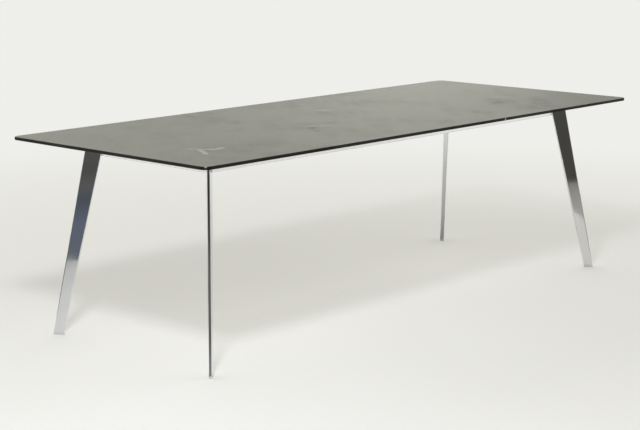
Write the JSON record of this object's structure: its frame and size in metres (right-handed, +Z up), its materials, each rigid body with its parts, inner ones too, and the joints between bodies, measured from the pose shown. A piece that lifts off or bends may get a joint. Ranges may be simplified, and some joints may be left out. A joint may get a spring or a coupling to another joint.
{
  "type": "dining table",
  "caption": "Long dining table: thin dark top with rounded corners on a set-in mitred rail frame, carried at the corners by splayed, tapered, polished blade legs with foot pads.",
  "frame": {"origin": "on the floor, under the centre of the top", "axes": "+X along the table's length, +Y along its width, +Z up"},
  "size_m": [2.4, 1, 0.72],
  "materials": {
    "top": "dark grey satin solid-core laminate",
    "legs": "mirror polished",
    "rails": "satin anodised",
    "plates": "zinc plated",
    "fasteners": "zinc plated",
    "inserts": "turned",
    "glides": "grey moulded"
  },
  "bodies": {
    "root": {"bracket_screws": "fasteners", "cleat_screws": "fasteners", "corner_cleat_back_left_long": "plates", "corner_cleat_back_left_short": "plates", "corner_cleat_back_right_long": "plates", "corner_cleat_back_right_short": "plates", "corner_cleat_front_left_long": "plates", "corner_cleat_front_left_short": "plates", "corner_cleat_front_right_long": "plates", "corner_cleat_front_right_short": "plates", "cross_cleat_back_left": "plates", "cross_cleat_back_right": "plates", "cross_cleat_front_left": "plates", "cross_cleat_front_right": "plates", "cross_rail_left": "rails", "cross_rail_right": "rails", "glide_back_left": "glides", "glide_back_right": "glides", "glide_front_left": "glides", "glide_front_right": "glides", "leg_back_left": "legs", "leg_back_right": "legs", "leg_bolts": "fasteners", "leg_front_left": "legs", "leg_front_right": "legs", "leg_nuts": "fasteners", "leg_washers": "fasteners", "long_rail_back": "rails", "long_rail_front": "rails", "rivet_nuts": "fasteners", "short_rail_left": "rails", "short_rail_right": "rails", "table_top": "top", "top_bracket_back_1": "plates", "top_bracket_back_2": "plates", "top_bracket_back_3": "plates", "top_bracket_cross_left_1": "plates", "top_bracket_cross_left_2": "plates", "top_bracket_cross_right_1": "plates", "top_bracket_cross_right_2": "plates", "top_bracket_front_1": "plates", "top_bracket_front_2": "plates", "top_bracket_front_3": "plates", "top_bracket_left_1": "plates", "top_bracket_left_2": "plates", "top_bracket_right_1": "plates", "top_bracket_right_2": "plates", "top_inserts": "inserts", "top_screws": "fasteners"}
  },
  "joints": []
}
